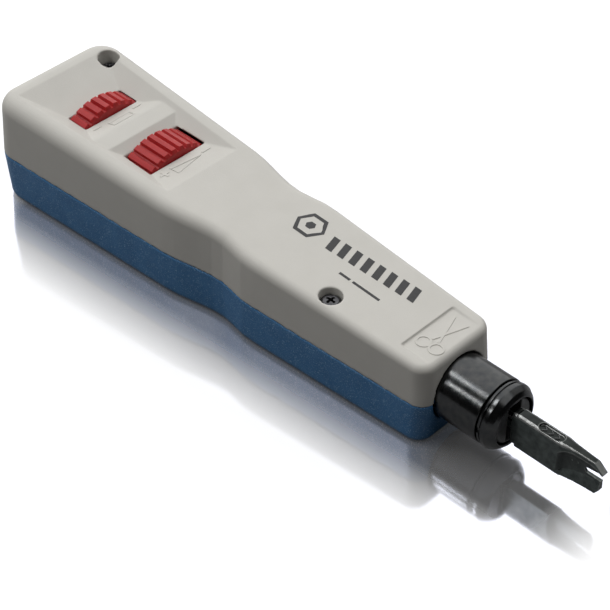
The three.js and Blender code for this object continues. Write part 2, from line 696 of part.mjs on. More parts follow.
const onWheelAxis = new THREE.Group();
onWheelAxis.position.z = WHEEL_Z;
onWheelAxis.add(
  piece('impact_wheel', impactWheel(), 'redPlastic'),
  piece('storage_wheel', storageWheel(), 'redPlastic'),
  piece('wheel_axle', wheelAxle(), 'brightSteel'),
  piece('axle_clip', axleClip(), 'springSteel'),
  piece('thrust_plate', thrustPlate(), 'brightSteel'),
  piece('impact_click_spring', clickSpring(IMPACT_WHEEL), 'springSteel'),
  piece('storage_click_spring', clickSpring(STORAGE_WHEEL), 'springSteel'),
  piece('storage_tube', storageTube(), 'whitePlastic'),
  piece('spare_blade', spareBlade(), 'blackBlade'),
);

const screwAt = ({ x, y, top, length }, name) => piece(name, screw(length), 'darkSteel', [x, y, top]);

const tool = new THREE.Group();
tool.position.x = -(BUTT_X + TIP_X) / 2;
tool.add(
  piece('upper_shell', shell(1), 'greyPlastic'),
  piece('lower_shell', shell(-1), 'bluePlastic'),
  screwAt(FRONT_SCREW, 'front_screw'),
  screwAt(REAR_SCREW, 'rear_screw'),
  piece('release_cam', releaseCam(), 'brightSteel'),
  onWorkingAxis,
  onWheelAxis,
);

export default tool;
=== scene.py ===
"""Looks for a punch down tool: moulded shells, ribbed thumb wheels, a black collar and a forked blade.

Pieces are modelled in millimetres with x = 0 at the housing's nose face, then carried into the
CAD frame, which is in metres.
"""

import json
import math

import bmesh
import bpy
from mathutils import Matrix, Vector


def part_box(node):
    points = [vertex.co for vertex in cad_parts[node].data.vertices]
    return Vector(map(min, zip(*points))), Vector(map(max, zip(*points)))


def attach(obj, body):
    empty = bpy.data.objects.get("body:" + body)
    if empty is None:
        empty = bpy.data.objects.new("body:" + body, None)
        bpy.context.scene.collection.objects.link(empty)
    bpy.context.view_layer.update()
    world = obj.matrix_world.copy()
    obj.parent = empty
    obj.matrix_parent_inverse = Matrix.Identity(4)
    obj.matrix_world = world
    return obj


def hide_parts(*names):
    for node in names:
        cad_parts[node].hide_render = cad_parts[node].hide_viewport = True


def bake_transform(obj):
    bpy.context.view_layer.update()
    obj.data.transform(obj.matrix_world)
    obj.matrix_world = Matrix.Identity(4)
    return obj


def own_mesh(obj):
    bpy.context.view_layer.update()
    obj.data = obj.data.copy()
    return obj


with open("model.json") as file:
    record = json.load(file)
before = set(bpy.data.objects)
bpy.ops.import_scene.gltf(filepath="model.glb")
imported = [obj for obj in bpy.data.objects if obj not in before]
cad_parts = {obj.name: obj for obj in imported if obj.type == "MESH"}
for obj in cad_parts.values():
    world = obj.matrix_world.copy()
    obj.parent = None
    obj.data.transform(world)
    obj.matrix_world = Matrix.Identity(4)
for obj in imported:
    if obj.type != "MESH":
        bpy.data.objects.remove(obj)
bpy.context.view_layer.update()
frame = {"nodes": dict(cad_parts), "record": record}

# ---- dimensions ----

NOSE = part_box("upper_shell")[1].x
TO_FRAME = Matrix.Translation((NOSE, 0, 0)) @ Matrix.Scale(0.001, 4)
BUTT_X = (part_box("upper_shell")[0].x - NOSE) * 1000
AXIS_Z = 11.6
WHEEL_Z = 15

BUTT_HALF_WIDTH = 18.95
NOSE_HALF_WIDTH = 11.7
BUTT_HEIGHT = 29.5
NOSE_HEIGHT = 22.2
BUTT_PARTING = 12.8
NOSE_PARTING = 11.6
BUTT_CORNER = 6.3
NOSE_CORNER = 4
BUTT_FILLET = 4
NOSE_FILLET = 1.7
BOTTOM_FILLET = 1.5
SIDE_DRAFT = 0.4
END_DRAFT = 0.7
WALL = 2
SEAM = 0.1

WAIST_START, WAIST_DEEPEST, WAIST_END = -78, -62, -51
WAIST_DEPTH = 1.8

REAR_WINDOW = (-119.1, -112.6)
FRONT_WINDOW = (-98.6, -89)
WINDOW_HALF_WIDTH = 8.25
REAR_WINDOW_FLOOR = 25.5
FRONT_WINDOW_FLOOR = 25.1
BRIDGE = (-106.1, -101.4)
BRIDGE_DROP = 0.8
RECESS = (-130.9, -80.2)
RECESS_HALF_WIDTHS = (13.7, 11.1)
RECESS_SIDE_SLOPE = 0.61
PANEL = (-10.2, -2)
PANEL_SIDES = (-8.2, 8.5)
PANEL_DEPTH = 0.5

BUTT_WALL = (-131.5, -129.5)
JOURNAL_WALL = (-112.4, -110.4)
AXLE_WALL = (-104.3, -102.1)
ROD_WALL = (-33.7, -31.7)
NOSE_WALL = (-2.7, -1)
THROUGH_Y = (-20, 20)
THROUGH_Z = (-1, 40)
SCREW_BOSS_RADIUS = 3.6
SCREW_POCKET_RADIUS = 2.75
SCREW_HOLE_RADIUS = 1.6
SCREW_HEAD_DEPTH = 1.9

GAP = 0.3
SLEEVE_RADIUS = 7.95
FLANGE_RADIUS = 9
ROD_HOLE_RADIUS = 3.1
JOURNAL_RADIUS = 7
AXLE_HOLE_RADIUS = 2.2
WHEEL_ROOM_RADIUS = 13.3
STORAGE_BORE_RADIUS = 5.3
PIN_X = -1
PIN_HOLE_RADIUS = 1.2

BLADE_HALF = 1.725
BLADE_SHOULDER = 17
BLADE_ROOT = 28
BLADE_CREASE = [(BLADE_ROOT, 7.5), (29.3, 8.2), (31.8, 9.5), (34.6, 10.3), (38.2, 10.9)]
BLADE_RIM = [
    (BLADE_ROOT, 12.6), (28.6, 13.3), (29.7, 14.1), (31.3, 14.5), (35.6, 14.4), (37.6, 14), (38.8, 13.1),
]
BLADE_HALF_WIDTHS = [(28.9, BLADE_HALF), (29.6, 1.56), (30.8, 1.3), (32.5, 1.08), (34.5, 0.93), (37, 0.85)]
BLADE_MARK = (25.3, -0.2)
BLADE_MARK_FLOOR = 15.25


# ---- shaping helpers ----

def along(x, at_butt, at_nose):
    return at_nose + (at_butt - at_nose) * x / BUTT_X


def smoothstep(x, start, end):
    t = min(1.0, max(0.0, (x - start) / (end - start)))
    return t * t * (3 - 2 * t)


def mix(a, b, t):
    return a + (b - a) * t


def interpolated(points, x):
    """The value at x on a line through (x, value) points, level beyond its ends."""
    if x <= points[0][0]:
        return points[0][1]
    for (x0, v0), (x1, v1) in zip(points, points[1:]):
        if x <= x1:
            return mix(v0, v1, (x - x0) / (x1 - x0))
    return points[-1][1]


def height(x):
    return along(x, BUTT_HEIGHT, NOSE_HEIGHT)


def parting(x):
    return along(x, BUTT_PARTING, NOSE_PARTING)


def half_width(x):
    inward = smoothstep(x, WAIST_START, WAIST_DEEPEST)
    outward = 1 - smoothstep(x, WAIST_DEEPEST, WAIST_END)
    return along(x, BUTT_HALF_WIDTH, NOSE_HALF_WIDTH) - WAIST_DEPTH * min(inward, outward)


def as_object(bm):
    bmesh.ops.recalc_face_normals(bm, faces=bm.faces)
    mesh = bpy.data.meshes.new("part")
    bm.to_mesh(mesh)
    bm.free()
    obj = bpy.data.objects.new("part", mesh)
    bpy.context.scene.collection.objects.link(obj)
    return obj


def loft(rings, closed=False, bm=None):
    """A body through rings with the same number of points, capped unless it closes on itself. It
    is added to bm if one is given."""
    own = bm is None
    bm = bm or bmesh.new()
    rows = [[bm.verts.new(point) for point in ring] for ring in rings]
    pairs = list(zip(rows, rows[1:]))
    if closed:
        pairs.append((rows[-1], rows[0]))
    else:
        bm.faces.new(rows[0])
        bm.faces.new(rows[-1])
    for a, b in pairs:
        for i in range(len(a)):
            j = (i + 1) % len(a)
            bm.faces.new((a[i], a[j], b[j], b[i]))
    return as_object(bm) if own else bm


def round_path(radius, steps=48, x=0.0, y=0.0):
    """Points round a circle, as pairs."""
    angles = [2 * math.pi * i / steps for i in range(steps)]
    return [(x + radius * math.cos(a), y + radius * math.sin(a)) for a in angles]


def rod_x(span, radius, z=AXIS_Z):
    return loft([[(x, py, pz) for py, pz in round_path(radius, 64, 0, z)] for x in span])


def rod_y(span, radius, x):
    return loft([[(px, y, pz) for px, pz in round_path(radius, 48, x, AXIS_Z)] for y in span])


def rod_z(span, radius, x, y):
    return loft([[(px, py, z) for px, py in round_path(radius, 48, x, y)] for z in span])


def box(xs, ys, zs):
    corners = [(xs[0], ys[0]), (xs[1], ys[0]), (xs[1], ys[1]), (xs[0], ys[1])]
    return loft([[(x, y, z) for x, y in corners] for z in zs])


def plate(outline, ys):
    """A plate across the width with an outline of (x, z) points."""
    return loft([[(x, y, z) for x, z in outline] for y in ys])


def rounded(outline, radius):
    """A closed outline with each corner replaced by a small curve."""
    points = [Vector(p) for p in outline]
    result = []
    for i, corner in enumerate(points):
        before = points[i - 1] - corner
        after = points[(i + 1) % len(points)] - corner
        reach = min(radius, before.length / 2.2, after.length / 2.2)
        start = corner + before.normalized() * reach
        end = corner + after.normalized() * reach
        for t in (0, 0.25, 0.5, 0.75, 1):
            result.append(tuple(start * (1 - t) ** 2 + corner * 2 * t * (1 - t) + end * t * t))
    return result


def turned(outline, z=AXIS_Z):
    """A body turned about X from a closed outline of (x, radius) points."""
    rings = [[(x, r * across, z + r * up) for x, r in outline] for across, up in round_path(1, 96)]
    return loft(rings, closed=True)


def hull(points):
    bm = bmesh.new()
    for point in points:
        bm.verts.new(point)
    bmesh.ops.convex_hull(bm, input=bm.verts)
    return as_object(bm)


def apply_modifiers(obj):
    graph = bpy.context.evaluated_depsgraph_get()
    mesh = bpy.data.meshes.new_from_object(obj.evaluated_get(graph))
    obj.modifiers.clear()
    obj.data = mesh
    return obj


def boolean(obj, others, operation):
    for other in others:
        modifier = obj.modifiers.new("boolean", "BOOLEAN")
        modifier.operation = operation
        modifier.solver = "EXACT"
        modifier.object = other
        apply_modifiers(obj)
        bpy.data.objects.remove(other)
    return obj


def cut(obj, *others):
    return boolean(obj, others, "DIFFERENCE")


def join(obj, *others):
    return boolean(obj, others, "UNION")


def overlap(obj, *others):
    return boolean(obj, others, "INTERSECT")


def softened(obj, voxel, passes, keep=1.0):
    """Rounds every edge a little, as on a moulded or tumbled piece, and keeps a share of the faces."""
    remesh = obj.modifiers.new("remesh", "REMESH")
    remesh.mode = "VOXEL"
    remesh.voxel_size = voxel
    smooth = obj.modifiers.new("smooth", "SMOOTH")
    smooth.factor = 0.5
    smooth.iterations = passes
    if keep < 1:
        thin = obj.modifiers.new("thin", "DECIMATE")
        thin.ratio = keep
    return apply_modifiers(obj)


def piece(obj, name, body, slot, replaces=(), crease=None, finishes=()):
    """It rides on a CAD body, or on none if it is to be blended. Its finish is its slot's, unless
    others are named, and edges sharper than crease degrees stay sharp."""
    obj.name = name
    obj.data.name = name
    obj.data.transform(TO_FRAME)
    obj.data.shade_smooth()
    if crease:
        obj.data.set_sharp_from_angle(angle=math.radians(crease))
    obj.data.materials.clear()
    for finish in finishes or (slot,):
        obj.data.materials.append(MATERIALS[finish])
    if body:
        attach(obj, body)
    if replaces:
        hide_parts(*replaces)
    return obj


# ---- materials ----

class Nodes:
    """A material's node tree, with texture coordinates in millimetres."""

    def __init__(self, name):
        self.material = bpy.data.materials.new(name)
        self.material.use_nodes = True
        self.tree = self.material.node_tree
        self.shader = self.tree.nodes["Principled BSDF"]
        coordinates = self.add("ShaderNodeTexCoord")
        scale = self.add("ShaderNodeVectorMath", operation="SCALE")
        scale.inputs["Scale"].default_value = 1000
        self.link(coordinates.outputs["Object"], scale.inputs[0])
        self.millimetres = scale.outputs[0]

    def add(self, kind, **settings):
        node = self.tree.nodes.new(kind)
        for key, value in settings.items():
            setattr(node, key, value)
        return node

    def link(self, output, socket):
        self.tree.links.new(output, socket)

    def noise(self, size, detail=2.0, stretch=(1, 1, 1)):
        """Noise whose grains are about size millimetres across."""
        mapping = self.add("ShaderNodeMapping")
        mapping.inputs["Scale"].default_value = stretch
        self.link(self.millimetres, mapping.inputs["Vector"])
        noise = self.add("ShaderNodeTexNoise")
        noise.inputs["Scale"].default_value = 1 / size
        noise.inputs["Detail"].default_value = detail
        self.link(mapping.outputs[0], noise.inputs["Vector"])
        return noise.outputs["Fac"]

    def ramp(self, value, low, high, start=0.3, end=0.7):
        """Remaps a value between start and end to a number or colour between low and high."""
        if isinstance(low, (int, float)):
            node = self.add("ShaderNodeMapRange")
            settings = {"From Min": start, "From Max": end, "To Min": low, "To Max": high}
            for name, number in settings.items():
                node.inputs[name].default_value = number
            self.link(value, node.inputs[0])
            return node.outputs[0]
        node = self.add("ShaderNodeValToRGB")
        node.color_ramp.elements[0].position = start
        node.color_ramp.elements[0].color = (*low, 1)
        node.color_ramp.elements[1].position = end
        node.color_ramp.elements[1].color = (*high, 1)
        self.link(value, node.inputs[0])
        return node.outputs["Color"]

    def bump(self, value, depth, strength=1.0):
        """Bumps of a depth in millimetres."""
        node = self.add("ShaderNodeBump")
        node.inputs["Distance"].default_value = depth / 1000
        node.inputs["Strength"].default_value = strength
        self.link(value, node.inputs["Height"])
        return node.outputs[0]

    def math(self, operation, *values):
        """A sum or comparison of outputs and numbers."""
        node = self.add("ShaderNodeMath", operation=operation)
        for socket, value in zip(node.inputs, values):
            if isinstance(value, (int, float)):
                socket.default_value = value
            else:
                self.link(value, socket)
        return node.outputs[0]

    def blend(self, factor, a, b):
        """An output's colour a, mixed by a factor with a fixed colour b."""
        node = self.add("ShaderNodeMix", data_type="RGBA")
        self.link(factor, node.inputs["Factor"])
        self.link(a, node.inputs["A"])
        node.inputs["B"].default_value = (*b, 1)
        return node.outputs["Result"]

    def finish(self, color, roughness, normal=None, fixed=None):
        """Links the main inputs, sets the fixed ones by name, and gives the material."""
        self.link(color, self.shader.inputs["Base Color"])
        self.link(roughness, self.shader.inputs["Roughness"])
        if normal:
            self.link(normal, self.shader.inputs["Normal"])
        for name, value in (fixed or {}).items():
            self.shader.inputs[name].default_value = value
        return self.material


def moulded_plastic(name, low, high, roughness, grain=0.22, sparkle=None):
    """Spark-textured plastic: a fine grain, a faint cloudiness and, if asked, bright flecks."""
    nodes = Nodes(name)
    color = nodes.ramp(nodes.noise(6, 3), low, high)
    if sparkle:
        flecks = nodes.ramp(nodes.noise(0.3, 1), 0.0, 1.0, 0.58, 0.74)
        color = nodes.blend(flecks, color, sparkle)
    rough = nodes.ramp(nodes.noise(0.5), roughness - 0.05, roughness + 0.07)
    normal = nodes.bump(nodes.noise(grain, 2), 0.045, 0.8)
    return nodes.finish(color, rough, normal)


def wheel_plastic():
    """Slightly translucent red plastic with a satin skin."""
    nodes = Nodes("red_wheel")
    color = nodes.ramp(nodes.noise(3, 3), (0.36, 0.018, 0.02), (0.42, 0.026, 0.026))
    rough = nodes.ramp(nodes.noise(0.6), 0.34, 0.46)
    normal = nodes.bump(nodes.noise(0.5, 2), 0.015, 0.5)
    depths = {"Specular IOR Level": 0.3, "Subsurface Weight": 0.3, "Subsurface Scale": 0.002}
    return nodes.finish(color, rough, normal, depths)


def metal(name, low, high, roughness, depth=0.01, stretch=(1, 1, 1), metallic=1.0, edge_wear_and_highlight=None):
    """Metal with a fine grain, stretched where it was turned, and uneven sheen. Its convex edges can take a
    lighter colour, partly edge wear and partly a painted highlight."""
    nodes = Nodes(name)
    color = nodes.ramp(nodes.noise(1.5, 4), low, high)
    if edge_wear_and_highlight:
        # Convex edges, found by pointiness, take a lighter colour: partly edge wear, partly a painted
        # highlight.
        edges = nodes.add("ShaderNodeNewGeometry").outputs["Pointiness"]
        color = nodes.blend(nodes.ramp(edges, 0.0, 1.0, 0.505, 0.54), color, edge_wear_and_highlight)
    rough = nodes.ramp(nodes.noise(1.1, 3), *roughness)
    normal = nodes.bump(nodes.noise(0.3, 3, stretch), depth, 0.8)
    return nodes.finish(color, rough, normal, {"Metallic": metallic})


def rubber():
    nodes = Nodes("black_rubber")
    color = nodes.ramp(nodes.noise(1, 3), (0.012, 0.012, 0.012), (0.03, 0.03, 0.03))
    normal = nodes.bump(nodes.noise(0.3, 3), 0.03)
    return nodes.finish(color, nodes.ramp(nodes.noise(0.7), 0.75, 0.9), normal)


def make_materials():
    turned_grain = (3, 0.4, 0.4)
    # Lighter colour for the blade's convex edges: partly edge wear, partly a painted highlight.
    edge_wear_and_highlight = (0.2, 0.22, 0.21)
    return {
        "grey_shell": moulded_plastic("grey_shell", (0.535, 0.52, 0.48), (0.555, 0.54, 0.5), 0.55),
        "blue_shell": moulded_plastic(
            "blue_shell", (0.033, 0.15, 0.34), (0.047, 0.185, 0.4), 0.45, 0.45, sparkle=(0.25, 0.42, 0.62)
        ),
        "printing": moulded_plastic("printing", (0.012, 0.012, 0.013), (0.018, 0.018, 0.02), 0.5),
        "red_wheel": wheel_plastic(),
        "white_plastic": moulded_plastic("white_plastic", (0.66, 0.66, 0.62), (0.72, 0.72, 0.68), 0.5),
        "black_rubber": rubber(),
        "black_collar": metal(
            "black_collar", (0.05, 0.053, 0.056), (0.075, 0.076, 0.075), (0.16, 0.24), stretch=turned_grain
        ),
        "black_socket": metal(
            "black_socket", (0.045, 0.047, 0.048), (0.075, 0.077, 0.078), (0.35, 0.5), metallic=0.3
        ),
        "black_blade": metal(
            "black_blade", (0.02, 0.022, 0.021), (0.03, 0.033, 0.032), (0.2, 0.28), edge_wear_and_highlight=(0.2, 0.21, 0.2)
        ),
        "blade_side": metal(
            "blade_side", (0.03, 0.04, 0.038), (0.1, 0.12, 0.115), (0.35, 0.5), 0.14, metallic=0.3, edge_wear_and_highlight=edge_wear_and_highlight
        ),
        # Darker metal in the hollow under the rim: painted shade.
        "blade_hollow_shade": metal(
            "blade_hollow_shade", (0.02, 0.027, 0.026), (0.05, 0.06, 0.058), (0.3, 0.45), 0.1,
            metallic=0.3, edge_wear_and_highlight=edge_wear_and_highlight,
        ),
        # Lighter metal on the blade's rounded top edges: partly edge wear, partly a painted highlight.
        "rubbed_edge_and_highlight": metal("rubbed_edge_and_highlight", (0.2, 0.205, 0.2), (0.32, 0.325, 0.32), (0.35, 0.5)),
        # Bare steel of the ground facet, also used as a painted highlight along the hollow's rim.
        "ground_edge_and_rim_highlight": metal("ground_edge_and_rim_highlight", (0.2, 0.21, 0.2), (0.28, 0.29, 0.28), (0.4, 0.55), metallic=0.4),
        "dark_screw": metal("dark_screw", (0.06, 0.06, 0.065), (0.11, 0.11, 0.115), (0.28, 0.42)),
        "bright_steel": metal(
            "bright_steel", (0.42, 0.43, 0.44), (0.55, 0.56, 0.57), (0.22, 0.35), stretch=turned_grain
        ),
        "spring_steel": metal("spring_steel", (0.3, 0.31, 0.33), (0.42, 0.43, 0.45), (0.25, 0.4)),
    }


MATERIALS = make_materials()


# ---- housing ----

def plan_ring(lean, inset, level):
    """Points round the housing's plan. Lean draws the walls in by their draft, and inset(x) and
    level(x) say how far in and how high each point is."""
    corner_steps, side_steps = 8, 36
    front_x = -END_DRAFT * lean - NOSE_CORNER
    rear_x = BUTT_X + END_DRAFT * lean + BUTT_CORNER

    def side(x):
        return half_width(x) - SIDE_DRAFT * lean

    def corner(x, radius, nominal_x, start):
        reach = radius - inset(nominal_x)
        angles = [start + math.pi / 2 * i / corner_steps for i in range(corner_steps + 1)]
        middle_y = side(x) - radius
        return [(x + reach * math.cos(a), middle_y + reach * math.sin(a)) for a in angles]

    sides = [mix(front_x, rear_x, i / side_steps) for i in range(1, side_steps)]
    half = corner(front_x, NOSE_CORNER, 0, 0)
    half += [(x, side(x) - inset(x)) for x in sides]
    half += corner(rear_x, BUTT_CORNER, BUTT_X, math.pi / 2)
    ring = half + [(x, -y) for x, y in reversed(half)]
    return [(x, y, level(x)) for x, y in ring]


def upper_body():
    """The upper half from the seam up, with a top fillet that tightens towards the nose."""
    def fillet(x):
        return along(x, BUTT_FILLET, NOSE_FILLET)

    rings = [plan_ring(0, lambda x: 0, lambda x: parting(x) + SEAM / 2)]
    steps = 8
    for i in range(steps + 1):
        a = math.pi / 2 * i / steps
        rings.append(plan_ring(
            1,
            lambda x, a=a: fillet(x) * (1 - math.cos(a)),
            lambda x, a=a: height(x) - fillet(x) * (1 - math.sin(a)),
        ))
    return loft(rings)


def lower_body():
    """The lower half from the seam down, with a small fillet all round the underside."""
    rings = [plan_ring(0, lambda x: 0, lambda x: parting(x) - SEAM / 2)]
    steps = 5
    for i in range(steps + 1):
        a = math.pi / 2 * i / steps
        rings.append(plan_ring(
            1,
            lambda x, a=a: BOTTOM_FILLET * (1 - math.cos(a)),
            lambda x, a=a: BOTTOM_FILLET * (1 - math.sin(a)),
        ))
    return loft(rings)


def recess_floor():
    """The recess floor's outline as (x, z) points: two flats at the windows and a bridge between."""
    rise = height(BRIDGE[0]) - BRIDGE_DROP
    shares = (0, 0.15, 0.3, 0.5, 0.7, 0.85, 1)
    points = [(RECESS[0], height(RECESS[0])), (REAR_WINDOW[0], REAR_WINDOW_FLOOR)]
    for t in shares:
        points.append((mix(REAR_WINDOW[1], BRIDGE[0], t), mix(REAR_WINDOW_FLOOR, rise, smoothstep(t, 0, 1))))
    points.append((BRIDGE[1], height(BRIDGE[1]) - BRIDGE_DROP))
    points += [(x, FRONT_WINDOW_FLOOR) for x in FRONT_WINDOW]
    points.append((RECESS[1], height(RECESS[1])))
    return points


def floor_level(x):
    """How high the recess floor is, which is the top face outside the recess."""
    return interpolated(recess_floor(), x) if RECESS[0] <= x <= RECESS[1] else height(x)


def above_floor(skin):
    """All that is above the recess floor, or above a level that lies skin under it."""
    lowered = [(x, z - skin) for x, z in recess_floor()]
    sky = 2 * BUTT_HEIGHT
    outline = lowered + [(RECESS[1] + 5, sky), (RECESS[0] - 5, sky)]
    return plate(outline, (-BUTT_HALF_WIDTH, BUTT_HALF_WIDTH))


def recess():
    """The dish round the wheels, between two sloping side facets."""
    corners = []
    for x, half in zip(RECESS, RECESS_HALF_WIDTHS):
        for y in (1, BUTT_HALF_WIDTH):
            z = height(x) + (y - half) * RECESS_SIDE_SLOPE
            corners += [(x, y, z), (x, -y, z)]
    return overlap(hull(corners), above_floor(0))


def nose_panel():
    """The shallow panel in the nose, which runs out level with the top at its front."""
    rear, front = PANEL
    outline = [
        (rear, height(rear) - PANEL_DEPTH),
        (front, height(front)),
        (front, height(front) + 1),
        (rear, height(rear) + 1),
    ]
    return plate(outline, PANEL_SIDES)


def screw_place(node):
    """A screw's centre, the top of its head and its length."""
    low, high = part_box(node)
    centre = (low + high) / 2
    return (centre.x - NOSE) * 1000, centre.y * 1000, high.z * 1000, (high - low).z * 1000


SCREW_PLACES = [screw_place(node) for node in ("front_screw", "rear_screw")]


def less_walls(room):
    """A shell's room without its cross walls and screw bosses."""
    for span in (BUTT_WALL, JOURNAL_WALL, AXLE_WALL, ROD_WALL, NOSE_WALL):
        cut(room, box(span, THROUGH_Y, THROUGH_Z))
    for x, y, _, _ in SCREW_PLACES:
        cut(room, rod_z(THROUGH_Z, SCREW_BOSS_RADIUS, x, y))
    return room


def upper_room():
    """The room inside the upper shell, with a sloped shoulder under the top fillet."""
    shoulder, ceiling, shoulder_inset, floor_skin = 3.6, 1.8, 1.6, 1.6
    room = loft([
        plan_ring(0, lambda x: WALL, lambda x: parting(x) - 1),
        plan_ring(1, lambda x: WALL, lambda x: height(x) - shoulder),
        plan_ring(1, lambda x: WALL + shoulder_inset, lambda x: height(x) - ceiling),
    ])
    return less_walls(cut(room, above_floor(floor_skin)))


def lower_room():
    return less_walls(loft([
        plan_ring(0, lambda x: WALL, lambda x: parting(x) + 1),
        plan_ring(1, lambda x: WALL, lambda x: WALL),
    ]))


def bores():
    """Openings through both shells: the sleeve, the wheels, the spare blade and the screws."""
    slot_y = BLADE_HALF + 0.4
    tube_y = 3.9
    cutters = [
        rod_x((-3, 2), SLEEVE_RADIUS + GAP),
        rod_x((-16.7, -2.8), FLANGE_RADIUS + 0.4),
        rod_x((-34, -31), ROD_HOLE_RADIUS),
        rod_x(REAR_WINDOW, WHEEL_ROOM_RADIUS, WHEEL_Z),
        rod_x(FRONT_WINDOW, WHEEL_ROOM_RADIUS, WHEEL_Z),
        rod_x((-113, -110), JOURNAL_RADIUS + GAP, WHEEL_Z),
        rod_x((-105, -102), AXLE_HOLE_RADIUS, WHEEL_Z),
        box((BUTT_X - 4, BUTT_X + 4), (-slot_y, slot_y), (WHEEL_Z - 4.8, WHEEL_Z + 4.8)),
        box((-132, -129), (-tube_y, tube_y), (WHEEL_Z - 6.5, WHEEL_Z + 6.5)),
    ]
    for x, y, top, _ in SCREW_PLACES:
        cutters.append(rod_z((top - SCREW_HEAD_DEPTH - GAP, THROUGH_Z[1]), SCREW_POCKET_RADIUS, x, y))
        cutters.append(rod_z((4, top), SCREW_HOLE_RADIUS, x, y))
    return cutters


def upper_shell():
    shell = cut(upper_body(), upper_room(), *bores(), recess(), nose_panel())
    for span in (REAR_WINDOW, FRONT_WINDOW):
        cut(shell, box(span, (-WINDOW_HALF_WIDTH, WINDOW_HALF_WIDTH), (WHEEL_Z + 3, THROUGH_Z[1])))
    softened(shell, 0.25, 2, keep=0.28)
    piece(shell, "upper_housing", "root", "grey_shell", ["upper_shell"])


def lower_shell():
    shell = cut(lower_body(), lower_room(), *bores())
    softened(shell, 0.35, 2, keep=0.45)
    piece(shell, "lower_housing", "root", "blue_shell", ["lower_shell"])


# ---- marks on the housing ----

MARK_ROOT = 0.15


def raised(bm, outline, surface, lift):
    """Adds a closed outline of (x, y) points as a thin plate that follows a surface z(x)."""
    loft([[(x, y, surface(x) + dz) for x, y in outline] for dz in (-MARK_ROOT, lift)], bm=bm)


def stroke(bm, path, width, surface, lift, closed=False):
    """Adds a thin raised line along a path of (x, y) points."""
    points = [Vector(p) for p in path]
    count = len(points)
    rings = []
    for i, point in enumerate(points):
        before = points[i - 1] if closed or i else point
        after = points[(i + 1) % count] if closed or i < count - 1 else point
        across = (after - before).normalized().orthogonal() * width / 2
        left, right = point + across, point - across
        low, high = surface(point.x) - MARK_ROOT, surface(point.x) + lift
        rings.append([(*left, low), (*left, high), (*right, high), (*right, low)])
    loft(rings, closed=closed, bm=bm)


def printed_marks():
    """A hexagon, a row of slanted bars and a broken thin line, printed on the top face."""
    ink = 0.02
    emblem = (-49.7, 4.7)
    bm = bmesh.new()
    stroke(bm, round_path(3.7, 6, *emblem), 1.1, height, ink, closed=True)
    raised(bm, round_path(1.3, 6, *emblem), height, ink)
    bars, width, length, pitch, slant, creep = 8, 1.9, 4.4, 3.35, 1.2, 0.18
    for i in range(bars):
        x = -42.2 + pitch * i
        y = 1.6 + creep * i
        far = y + length
        raised(bm, [(x, y), (x + width, y), (x + width - slant, far), (x - slant, far)], height, ink)
    for x0, x1 in ((-34.4, -31.2), (-30.4, -22.4)):
        raised(bm, [(x0, -2.2), (x1, -2.2), (x1, -1.5), (x0, -1.5)], height, ink)
    piece(as_object(bm), "printed_marks", "root", "grey_shell", crease=30, finishes=["printing"])


def box_outline(x, y, half_x, half_y):
    """Corners of a box round its centre."""
    signs = [(-1, -1), (1, -1), (1, 1), (-1, 1)]
    return [(x + half_x * a, y + half_y * b) for a, b in signs]


def plus_outline(x, y, arm, half):
    turns = [(1, 0), (0, 1), (-1, 0), (0, -1)]
    corners = [(arm, -half), (arm, half), (half, half)]
    return [(x + px * c - py * s, y + px * s + py * c) for c, s in turns for px, py in corners]


def wheel_marks():
    """Raised marks beside the wheels: more and less impact with a wedge, and a slot for the blade."""
    lift, width, arm, half = 0.13, 0.5, 1.3, 0.3
    impact_x, impact_y = -86.3, 6.6
    bm = bmesh.new()
    raised(bm, plus_outline(impact_x, -impact_y, arm, half), floor_level, lift)
    raised(bm, box_outline(impact_x, impact_y, half, arm), floor_level, lift)
    stroke(bm, [(-85.6, 4.2), (-84.2, -4.2), (-87.0, -4.2)], width, floor_level, lift, closed=True)
    for y in (6.3, -6.3):
        raised(bm, box_outline(-110.6, y, 0.2, 1.2), floor_level, lift)
    slot = [(-107.9, -3.2), (-110.1, -3.2), (-110.1, 3.2), (-107.9, 3.2)]
    stroke(bm, slot, width, floor_level, lift, closed=True)
    piece(as_object(bm), "wheel_marks", "root", "grey_shell", crease=30)


def panel_level(x):
    return height(x) - PANEL_DEPTH * (x - PANEL[1]) / (PANEL[0] - PANEL[1])


def trim_mark():
    """Open scissors in the nose panel, on the side of the blade that trims."""
    lift, width, pivot, handle_radius = 0.14, 0.55, (-5.9, 0.6), 1.6
    bm = bmesh.new()
    for side in (1, -1):
        tip = (pivot[0] + side * 2.0, pivot[1] + 5.9)
        grip = (pivot[0] - side * 0.9, pivot[1] - 2.7)
        handle = round_path(handle_radius, 24, grip[0] - side * 0.9, grip[1] - 1.7)
        stroke(bm, [tip, grip], width, panel_level, lift)
        stroke(bm, handle, width, panel_level, lift, closed=True)
    piece(as_object(bm), "trim_mark", "root", "grey_shell", crease=30)


# ---- screws ----

def screw(name, node, place):
    """A pan head screw with a tapered cross recess."""
    x, y, top, length = place
    head_radius, shank_radius, point_length = 2.45, 1.3, 1.5
    profile = [(-length, 0.2), (point_length - length, shank_radius), (-SCREW_HEAD_DEPTH, shank_radius)]
    profile += [(-SCREW_HEAD_DEPTH, head_radius), (-0.65, head_radius), (-0.12, 1.8), (0, 0.7)]
    body = loft([[(px, py, top + z) for px, py in round_path(r, 48, x, y)] for z, r in profile])
    for dx, dy in ((1.45, 0.36), (0.36, 1.45)):
        wide = box_outline(x, y, dx, dy)
        narrow = [(x + (px - x) * 0.35, y + (py - y) * 0.35) for px, py in wide]
        levels = ((wide, top + 0.3), (narrow, top - 1.5))
        cut(body, loft([[(px, py, z) for px, py in outline] for outline, z in levels]))
    softened(body, 0.09, 1)
    piece(body, name, "root", "dark_screw", [node])


# ---- thumb wheels ----

